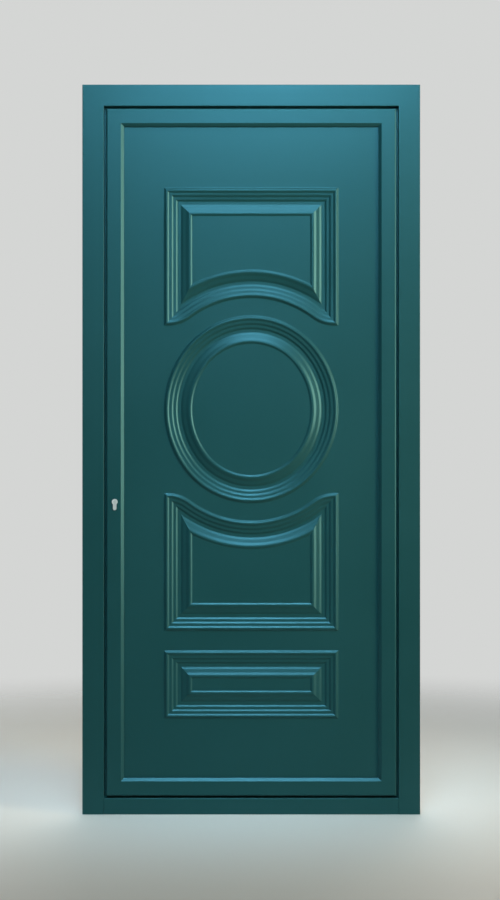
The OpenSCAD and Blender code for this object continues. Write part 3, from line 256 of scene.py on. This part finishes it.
def mouldingHeight(d, s):
    # height over the sheet at distance d in from a field's edge: the corner points joined by straight lines,
    # not under the valley, averaged over a short run so that each fold is round as in pressed sheet
    line, valley = mouldingLine(s)
    run = np.asarray(d)[..., None] + np.linspace(-s["foldR"], s["foldR"], 15)
    return np.maximum(np.interp(run, line[:, 0], line[:, 1]), valley).mean(axis=-1)


def mouldingRows(s):
    # distances of the grid's rows: close together round each fold, wide between
    folds = mouldingLine(s)[0][:, 0]
    near = (folds[:, None] + s["foldR"] * np.array([-1.0, -0.4, 0.4, 1.0])).ravel()
    rows = np.unique(np.round(np.concatenate([near, np.arange(0, s["inside"] - 2, s["rowStep"])]), 1))
    rows = rows[np.concatenate([[True], np.diff(rows) > 0.25])]
    rows = rows[(rows > s["outside"] + 0.5) & (rows < s["inside"] - 0.5)]
    return np.concatenate([[s["outside"]], rows, [s["inside"]]])


def archEdge(x, d, s):
    # height over the ring's middle of the dished edge, moved in by d: a flat foot, a flare and the big arc
    x = np.abs(x)
    flare = s["flareZ"] - np.sqrt(np.maximum((s["flareR"] - d) ** 2 - (x - s["flareX"]) ** 2, 0))
    arc = s["endZ"] + np.sqrt(np.maximum((s["archR"] + d) ** 2 - x ** 2, 0))
    share = s["flareX"] / (s["archR"] + s["flareR"])
    edge = np.where(x < share * (s["archR"] + d), arc, flare)
    return np.where(x > s["flareX"], s["flareZ"] - s["flareR"] + d, edge)


def tallField(rows, s):
    # the field over the ring, as patches (x, z) on a grid of rows d and columns u: the dished edge, two
    # sides and the straight edge, which meet on the mitres
    d = rows[:, None]
    u = np.linspace(-1, 1, s["archColumns"])[None, :]
    x = u * (s["fieldHalf"] - d)
    dish = (x, archEdge(x, d, s))
    v = np.linspace(0, 1, s["sideColumns"])[None, :]
    foot = archEdge(s["fieldHalf"] - d, d, s)
    z = foot + v * (s["reach"] - d - foot)
    right = (s["fieldHalf"] - d + 0 * z, z)
    w = np.linspace(1, -1, s["sideColumns"])[None, :]
    top = (w * (s["fieldHalf"] - d), s["reach"] - d + 0 * w)
    left = (-right[0], right[1][:, ::-1])
    return [dish, right, top, left]


def ringField(rows, s):
    # the ring by the angle of its edge's normal: the middle of the arc that holds the angle, plus the arc's
    # radius less d along the normal
    part = math.atan2(s["endZ"], s["sideX"])
    joints = np.array([part, math.pi - part, math.pi + part, 2 * math.pi - part])
    turn = np.unique(np.concatenate([np.radians(np.linspace(0, 360, s["ringColumns"])), joints]))[None, :]
    c, n = np.cos(turn), np.sin(turn)
    onSide = np.abs(n) <= math.sin(part) + 1e-9
    middleX = np.where(onSide, -np.sign(c) * s["sideX"], 0)
    middleZ = np.where(onSide, 0, np.sign(n) * s["endZ"])
    radius = np.where(onSide, s["sideR"], s["endR"]) - rows[:, None]
    return [(middleX + radius * c, middleZ + radius * n)]


def lowField(rows, s):
    # the rectangle: four straight edges that meet on the mitres
    d = rows[:, None]
    v = np.linspace(-1, 1, s["sideColumns"])[None, :]
    wide, high = s["fieldHalf"] - d, s["lowHigh"] / 2 - d
    bottom = (v * wide, -high + 0 * v)
    right = (wide + 0 * v, v * high)
    return [bottom, right, (-bottom[0], -bottom[1]), (-right[0], -right[1])]


def insideLoop(points, loop):
    # counts the loop's edges to the right of each point
    a, b = loop, np.roll(loop, -1, axis=0)
    px, pz = points[:, 0:1], points[:, 1:2]
    over = (a[None, :, 1] > pz) != (b[None, :, 1] > pz)
    rise = np.where(b[:, 1] == a[:, 1], 1e-12, b[:, 1] - a[:, 1])
    cross = a[None, :, 0] + (pz - a[None, :, 1]) * ((b[:, 0] - a[:, 0]) / rise)[None, :]
    return (over & (px < cross)).sum(axis=1) % 2 == 1


def pressedSheet(s):
    rows = mouldingRows(s)
    high = mouldingHeight(rows, s)
    tall = tallField(rows, s)
    fields = [[(x, z + s["ringZ"]) for x, z in tall],
              [(x, z + s["ringZ"]) for x, z in ringField(rows, s)],
              [(-x, s["ringZ"] - z) for x, z in tall],
              [(x, z + s["lowZ"] + s["lowHigh"] / 2) for x, z in lowField(rows, s)]]
    points, quads, outer, inner, count = [], [], [], [], 0
    for field in fields:
        for x, z in field:
            y = s["front"] - high[:, None] + 0 * x
            points.append(np.stack([x, y, z], axis=-1).reshape(-1, 3))
            quads.append(gridFaces(*x.shape, start=count))
            count += x.size
        outer.append(np.concatenate([np.stack([x[0, :-1], z[0, :-1]], axis=-1) for x, z in field]))
        inner.append(np.concatenate([np.stack([x[-1, :-1], z[-1, :-1]], axis=-1) for x, z in field]))
    border = np.array([[-s["half"], s["low"]], [s["half"], s["low"]],
                       [s["half"], s["high"]], [-s["half"], s["high"]]])

    # flats: one triangulation between the border and all the loops, then only the triangles outside every
    # moulding or inside an inner loop stay
    loops = [border] + outer + inner
    starts = np.cumsum([0] + [len(l) for l in loops])
    edges = np.concatenate([np.stack([np.arange(len(l)), np.roll(np.arange(len(l)), -1)], axis=1) + at
                            for l, at in zip(loops, starts)])
    got = delaunay_2d_cdt([Vector(p) for p in np.concatenate(loops).tolist()], edges.tolist(), [], 0, 1e-6)
    flat = np.concatenate(loops)[[came[0] for came in got[3]]]     # the exact points that went in
    tri = np.array([tuple(f) for f in got[2] if len(f) == 3])
    mid = flat[tri].mean(axis=1)
    plain = ~np.any([insideLoop(mid, l) for l in outer], axis=0)
    within = np.any([insideLoop(mid, l) for l in inner], axis=0)
    tris = []
    for keep, lift in ((plain, high[0]), (within, high[-1])):
        points.append(np.stack([flat[:, 0], np.full(len(flat), s["front"] - lift), flat[:, 1]], axis=-1))
        tris.append(tri[keep] + count)
        count += len(flat)
    points, quads, tris = np.concatenate(points) / 1000, np.concatenate(quads), np.concatenate(tris)

    # every face looks out, towards -Y
    def outwards(faces):
        p = points[faces]
        across, up = p[:, 2] - p[:, 0], p[:, -1] - p[:, 1]
        turned = across[:, 2] * up[:, 0] - across[:, 0] * up[:, 2] > 0
        return np.where(turned[:, None], faces[:, ::-1], faces)
    used = np.unique(np.concatenate([quads.ravel(), tris.ravel()]))
    renew = np.zeros(count, dtype=int)
    renew[used] = np.arange(len(used))
    obj = addSurface("pressedSheet", points[used], renew[outwards(quads)], renew[outwards(tris)],
                     "panel_paint", "leaf", ["panel_skin"], crease=16)
    wall = obj.modifiers.new("sheetThickness", "SOLIDIFY")
    wall.thickness = s["thick"] / 1000
    wall.offset = -1
    return obj


panel = pressedSheet(sheet)
print("pressed sheet:", len(panel.data.polygons), "faces")

# countersunk screws with a cross in the head, sizes in millimetres
screw = {
    "headR": 4.0, "headHigh": 2.0, "shankR": 2.1, "length": 12.0,
    "crossDeep": 1.3, "crossHalf": 0.6, "crossReach": 2.4, "crossSlope": 0.35,
    "pitch": 1.4, "threadDeep": 0.35, "columns": 48, "faceRows": 16, "rowsPerPitch": 6,
    "turnStep": 2.4,           # every screw stops at another angle, in radians
}
hingeZ = [z + side for z in (300, 1080, 1860) for side in (-36, 36)]
plateZ = (869, 1075)
screwSets = {
    # node: body, direction into the material, places of the heads
    "hinge_frame_screws": ("frame", (0, -1, 0), [(490, 29, z) for z in hingeZ]),
    "hinge_leaf_screws": ("leaf", (0, -1, 0), [(428, 37, z) for z in hingeZ]),
    "strike_screws": ("frame", (-1, 0, 0), [(-451.5, 9, z) for z in plateZ]),
    "lock_screws": ("leaf", (1, 0, 0), [(-444.5, 9, z) for z in plateZ]),
    "rose_screws": ("leaf", (0, -1, 0), [(-404, 36, z) for z in (993, 1027)]),
    "sill_screws": ("frame", (0, 0, 1), [(x, y, 0) for x in (-430, 430) for y in (-10, 10)]),
}


def screwShape(s):
    # points by angle round the axis and by a profile from the head's middle to the tip: a flat face, a cone and
    # a shank whose radius dips once per pitch and turn; the face sinks by the deeper of two crossed slots
    face = np.linspace(0.25, s["headR"], s["faceRows"])
    depth = np.arange(s["headHigh"], s["length"] - 0.1, s["pitch"] / s["rowsPerPitch"])
    r = np.concatenate([face, np.full(len(depth), s["shankR"]), [s["shankR"] - s["threadDeep"]]])[:, None]
    t = np.concatenate([0 * face, depth, [s["length"]]])[:, None]
    a = np.radians(np.linspace(0, 360, s["columns"] + 1))[None, :]
    dip = np.clip((t - s["headHigh"]) / s["pitch"], 0, 1) * np.clip((s["length"] - t) / s["pitch"], 0, 1)
    r = r - dip * s["threadDeep"] * (0.5 + 0.5 * np.cos(2 * math.pi * t / s["pitch"] - a))

    def slot(along, across):
        wide = np.clip((s["crossHalf"] - np.abs(across)) / s["crossSlope"], 0, 1)
        return wide * np.clip((s["crossReach"] - np.abs(along)) / s["crossSlope"], 0, 1)
    x, y = r * np.cos(a), r * np.sin(a)
    t = t + (t == 0) * s["crossDeep"] * np.maximum(slot(x, y), slot(y, x))
    return x, y, t


def addScrews(node, body, way, places, s):
    x, y, t = screwShape(s)
    rows, cols = x.shape
    way = np.array(way, dtype=float)
    side = np.roll(way, 1)
    turn = s["turnStep"] * np.arange(len(places))[:, None, None]
    across, up = x * np.cos(turn) - y * np.sin(turn), x * np.sin(turn) + y * np.cos(turn)
    points = (across[..., None] * side + up[..., None] * np.cross(way, side) + t[..., None] * way)
    points = (points + np.array(places, dtype=float)[:, None, None, :]).reshape(len(places), -1, 3)
    ends = np.array(places)[:, None, :] + np.array([s["crossDeep"], s["length"]])[None, :, None] * way
    points = np.concatenate([points, ends], axis=1)
    step = rows * cols + 2
    ring = np.arange(cols - 1)
    tip = (rows - 1) * cols + ring
    caps = np.concatenate([np.stack([0 * ring + step - 2, ring + 1, ring], axis=1),
                           np.stack([0 * ring + step - 1, tip, tip + 1], axis=1)])
    shift = step * np.arange(len(places))[:, None, None]
    quads = (gridFaces(rows, cols) + shift).reshape(-1, 4)
    return addSurface(node + "Cross", points.reshape(-1, 3) / 1000, quads, (caps + shift).reshape(-1, 3),
                      "steel", body, [node])


for node, (body, way, places) in screwSets.items():
    addScrews(node, body, way, places, screw)
print("screws:", sum(len(row[2]) for row in screwSets.values()))


stageSettings = {
    "colour": "#d6d0c6", "radius": 3.4, "under": 0.0004, "rings": 24, "spokes": 97,
    "fadeFrom": 1.5, "fadeTo": 3.3,      # metres from the door's middle over which the board thins out
}


def floorSurface(s):
    # flat disc on rings and spokes: radius times cosine and sine of the angle
    r = np.linspace(0.001, s["radius"], s["rings"])[:, None]
    a = np.radians(np.linspace(0, 360, s["spokes"]))[None, :]
    points = np.stack([r * np.cos(a), r * np.sin(a), -s["under"] + 0 * r * a], axis=-1).reshape(-1, 3)
    mesh = bpy.data.meshes.new("studioFloor")
    mesh.from_pydata(points.tolist(), [], gridFaces(s["rings"], s["spokes"]).tolist())
    obj = bpy.data.objects.new("studioFloor", mesh)
    scene.collection.objects.link(obj)
    # painted board: pale and dull, it thins out into the backdrop away from the door
    mat, tree = newMaterial("paleFloor")
    place = addNode(tree, "ShaderNodeTexCoord")
    cloud = addNode(tree, "ShaderNodeTexNoise", {"Scale": 1.5, "Detail": 4.0}, {"Vector": (place, "Object")})
    gloss = addNode(tree, "ShaderNodeMapRange", {1: 0.3, 2: 0.7, 3: 0.7, 4: 0.85}, {0: (cloud, 0)})
    body = addNode(tree, "ShaderNodeBsdfPrincipled", {"Base Color": toLinear(s["colour"])},
                   {"Roughness": (gloss, 0)})
    away = addNode(tree, "ShaderNodeVectorMath", {"operation": "LENGTH"}, {0: (place, "Object")})
    thin = addNode(tree, "ShaderNodeMapRange",
                   {"interpolation_type": "SMOOTHSTEP", 1: s["fadeFrom"], 2: s["fadeTo"], 3: 0.0, 4: 1.0},
                   {0: (away, "Value")})
    clear = addNode(tree, "ShaderNodeBsdfTransparent")
    both = addNode(tree, "ShaderNodeMixShader", None, {0: (thin, 0), 1: (body, 0), 2: (clear, 0)})
    addNode(tree, "ShaderNodeOutputMaterial", None, {"Surface": (both, 0)})
    obj.data.materials.append(mat)


floorSurface(stageSettings)

lightSettings = {
    "backdrop": (0.66, 0.67, 0.66),          # pale sweep behind the door
    "overhead": (0.10, 0.11, 0.12),          # the room in front: grey ceiling and walls, darker ground
    "wall": (0.11, 0.11, 0.108),
    "ground": (0.08, 0.08, 0.08),
    "lamps": [
        # name, place, aim, size, watts, colour, spread in degrees
        ("topBox", (0.15, -1.15, 3.4), (0, 0, 2.0), (1.9, 1.0), 6.8, (0.46, 0.78, 1.0), 62),
        ("highBox", (0.1, -2.2, 3.0), (0, 0, 2.3), (1.2, 0.6), 4.4, (0.46, 0.78, 1.0), 50),
        ("frontBox", (0.0, -3.3, 2.65), (0, 0, 1.2), (2.0, 1.5), 10.4, (0.46, 0.78, 1.0), 120),
        # the next two reach the slopes and steps of the lower mouldings
        ("lowBox", (0.0, -2.6, 3.1), (0, 0, 0.4), (1.6, 0.7), 3.6, (0.50, 0.79, 1.0), 40),
        ("stepBox", (0.0, -1.6, 3.65), (0, 0, 0.45), (1.4, 0.6), 1.9, (0.50, 0.79, 1.0), 26),
        ("rightStrip", (3.12, -1.8, 1.9), (0, 0, 1.8), (1.0, 2.6), 38, (1.0, 0.86, 0.61), 80),
        ("rearBox", (0.5, 3.6, 3.0), (0, 0, 1.5), (3.0, 2.0), 26, (0.97, 0.98, 1.0), 90),
    ],
}


def studioLight(s):
    # world by direction: overhead, wall and ground shades in front, one pale sweep behind
    world = bpy.data.worlds.new("studio")
    scene.world = world
    world.use_nodes = True
    tree = world.node_tree
    tree.nodes.clear()
    place = addNode(tree, "ShaderNodeTexCoord")
    split = addNode(tree, "ShaderNodeSeparateXYZ", None, {0: (place, "Generated")})
    up = addNode(tree, "ShaderNodeMapRange", {1: 0.05, 2: 0.75, 3: 0.0, 4: 1.0}, {0: (split, "Z")})
    down = addNode(tree, "ShaderNodeMapRange", {1: 0.05, 2: -0.12, 3: 0.0, 4: 1.0}, {0: (split, "Z")})
    behind = addNode(tree, "ShaderNodeMapRange",
                     {"interpolation_type": "SMOOTHSTEP", 1: -0.2, 2: 0.6, 3: 0.0, 4: 1.0}, {0: (split, "Y")})
    shade = {k: s[k] + (1.0,) for k in ("backdrop", "overhead", "wall", "ground")}
    high = mixColour(tree, {0: (up, 0)}, shade["wall"], shade["overhead"])
    room = mixColour(tree, {0: (down, 0), 6: (high, 2)}, second=shade["ground"])
    dome = mixColour(tree, {0: (behind, 0), 6: (room, 2)}, second=shade["backdrop"])
    glow = addNode(tree, "ShaderNodeBackground", {"Strength": 1.0}, {"Color": (dome, 2)})
    addNode(tree, "ShaderNodeOutputWorld", None, {"Surface": (glow, 0)})
    for name, spot, aim, size, watts, colour, spread in s["lamps"]:
        lamp = bpy.data.lights.new(name, "AREA")
        lamp.shape = "RECTANGLE"
        lamp.size, lamp.size_y = size
        lamp.energy = watts
        lamp.color = colour
        lamp.spread = math.radians(spread)
        obj = bpy.data.objects.new(name, lamp)
        obj.location = spot
        obj.rotation_euler = (Vector(aim) - Vector(spot)).to_track_quat("-Z", "Y").to_euler()
        scene.collection.objects.link(obj)


studioLight(lightSettings)

cameraSettings = {"place": (-0.0037, -5.025, 1.0785), "seenHigh": 2.663, "away": 5.0}


def frontCamera(s):
    # level and square to the door; the lens gives the seen height at the door's front, on a 36 mm film
    cam = bpy.data.cameras.new("frontCamera")
    cam.sensor_fit = "VERTICAL"
    cam.sensor_height = 36.0
    cam.lens = 36.0 * s["away"] / s["seenHigh"]
    obj = bpy.data.objects.new("frontCamera", cam)
    obj.location = s["place"]
    obj.rotation_euler = (math.radians(90), 0, 0)
    scene.collection.objects.link(obj)
    scene.camera = obj


frontCamera(cameraSettings)
scene.view_settings.view_transform = "Standard"
print("stage, light and camera set")
